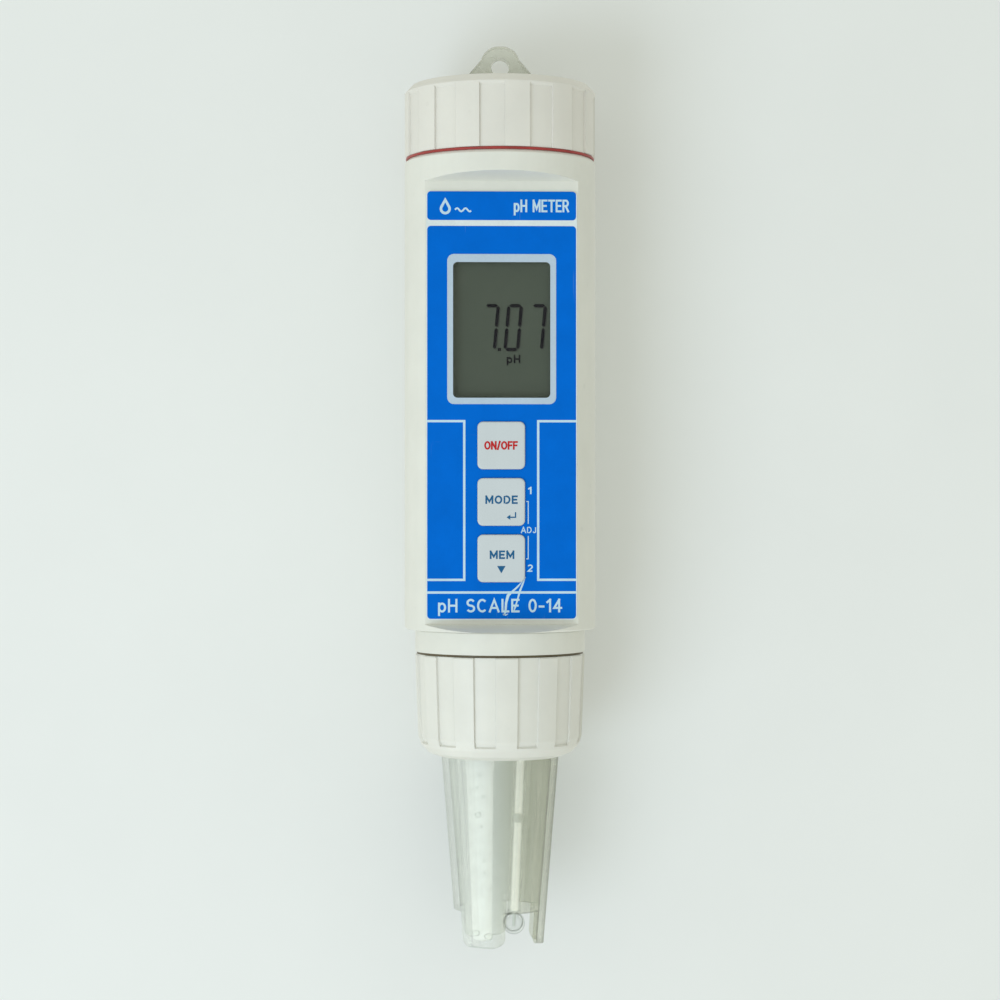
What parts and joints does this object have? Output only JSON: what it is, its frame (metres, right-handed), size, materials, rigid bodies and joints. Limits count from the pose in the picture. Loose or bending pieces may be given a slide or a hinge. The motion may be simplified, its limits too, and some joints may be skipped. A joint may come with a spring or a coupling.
{
  "type": "ph meter",
  "caption": "Pen-type pH meter: round white tube with a flat labelled front, display window, press keys, screw battery cap with hanging eye, and a clear probe held by a collar nut.",
  "frame": {"origin": "on the tube axis, at the face where the collar nut meets the housing's lower flange", "axes": "+Z along the tube axis towards the hanging eye, -Y out of the labelled flat, +X to the right as the label is read"},
  "size_m": [0.04, 0.04, 0.1881],
  "materials": {
    "white_abs": "fine moulded grain, off-white",
    "black_rubber": "smooth moulded",
    "brown_rubber": "smooth moulded, dark brown",
    "blue_film": "printed satin film",
    "clear_window": "clear acrylic",
    "lcd_glass": "grey-green display",
    "black_plastic": "fine grain",
    "pink_elastomer": "layered silicone",
    "green_board": "solder mask",
    "black_epoxy": "moulded package",
    "nickel_can": "drawn can",
    "blue_sleeve": "shrunk sleeve",
    "blue_plastic": "moulded",
    "plated_steel": "zinc plated",
    "cell_jacket": "plain green sleeve over steel",
    "spring_steel": "nickel plated wire",
    "nickel_plate": "nickel plated brass",
    "red_sleeve": "vinyl sleeve",
    "black_sleeve": "vinyl sleeve",
    "white_insulator": "moulded",
    "grey_sleeve": "vinyl sleeve",
    "red_rubber": "silicone ring",
    "clear_eye": "smoky clear plastic",
    "black_foam": "closed-cell foam",
    "grey_key": "pale grey, satin",
    "ivory_button": "moulded",
    "clear_shell": "clear polycarbonate, faint smoke",
    "gilt_contact": "gold flash",
    "lab_glass": "blown glass",
    "white_ceramic": "fired, unglazed",
    "clear_tube": "clear polycarbonate",
    "silver_wire": "silver wire"
  },
  "bodies": {
    "housing": {"main_tube": "white_abs", "lower_end_ring": "white_abs", "tube_seal_ring": "black_rubber", "nut_gasket": "brown_rubber", "front_label": "blue_film", "window_lens": "clear_window", "lcd_glass": "lcd_glass", "lcd_frame": "black_plastic", "zebra_strips": "pink_elastomer", "main_pcb": "green_board", "processor_chip": "black_epoxy", "input_amplifier": "black_epoxy", "crystal_can": "nickel_can", "capacitors": "blue_sleeve", "trimmer_pots": "blue_plastic", "switch_bodies": "black_plastic", "pcb_screws": "plated_steel", "battery_carrier": "black_plastic", "battery_cells": "cell_jacket", "battery_springs": "spring_steel", "contact_plates": "nickel_plate", "battery_lead_red": "red_sleeve", "battery_lead_black": "black_sleeve", "probe_socket": "nickel_plate", "socket_nut": "nickel_plate", "socket_insulator": "white_insulator", "signal_lead": "grey_sleeve"},
    "cap_seal": {"cap_seal_ring": "red_rubber"},
    "battery_cap": {"cap_shell": "white_abs", "hanger_eye": "clear_eye", "cap_pad": "black_foam"},
    "power_key": {"power_key": "grey_key", "power_switch_button": "ivory_button"},
    "hold_key": {"hold_key": "grey_key", "hold_switch_button": "ivory_button"},
    "record_key": {"record_key": "grey_key", "record_switch_button": "ivory_button"},
    "probe": {"electrode_shell": "clear_shell", "electrode_head": "white_insulator", "probe_seal_ring": "black_rubber", "plug_shell": "nickel_plate", "plug_pin": "gilt_contact", "glass_stem": "lab_glass", "glass_bulb": "lab_glass", "sensing_wire": "white_ceramic", "stem_collar": "white_insulator", "reference_tube": "clear_tube", "reference_wire": "silver_wire", "junction_plug": "white_ceramic"},
    "collar_nut": {"collar_nut": "white_abs"}
  },
  "joints": [
    {"name": "power_key_press", "type": "slide", "parent": "housing", "child": "power_key", "axis": [0, 1, 0], "range_m": [0, 0.0004], "stiffness_N_per_m": 400},
    {"name": "hold_key_press", "type": "slide", "parent": "housing", "child": "hold_key", "axis": [0, 1, 0], "range_m": [0, 0.0004], "stiffness_N_per_m": 400},
    {"name": "record_key_press", "type": "slide", "parent": "housing", "child": "record_key", "axis": [0, 1, 0], "range_m": [0, 0.0004], "stiffness_N_per_m": 400},
    {"name": "cap_lift", "type": "slide", "parent": "housing", "child": "cap_seal", "axis": [0, 0, 1], "range_m": [0, 0.0135]},
    {"name": "cap_turn", "type": "hinge", "parent": "cap_seal", "child": "battery_cap", "pos_m": [0, 0, 0.11], "axis": [0, 0, 1], "range_deg": [0, 1622]},
    {"name": "probe_withdraw", "type": "slide", "parent": "housing", "child": "probe", "axis": [0, 0, -1], "range_m": [0, 0.018]},
    {"name": "nut_turn", "type": "hinge", "parent": "probe", "child": "collar_nut", "pos_m": [0, 0, -0.01], "axis": [0, 0, -1], "range_deg": [0, 2162]}
  ],
  "couplings": [
    {"joint": "cap_turn", "follows": "cap_lift", "rad_per_m": 2094.4},
    {"joint": "nut_turn", "follows": "probe_withdraw", "rad_per_m": 2094.4}
  ]
}
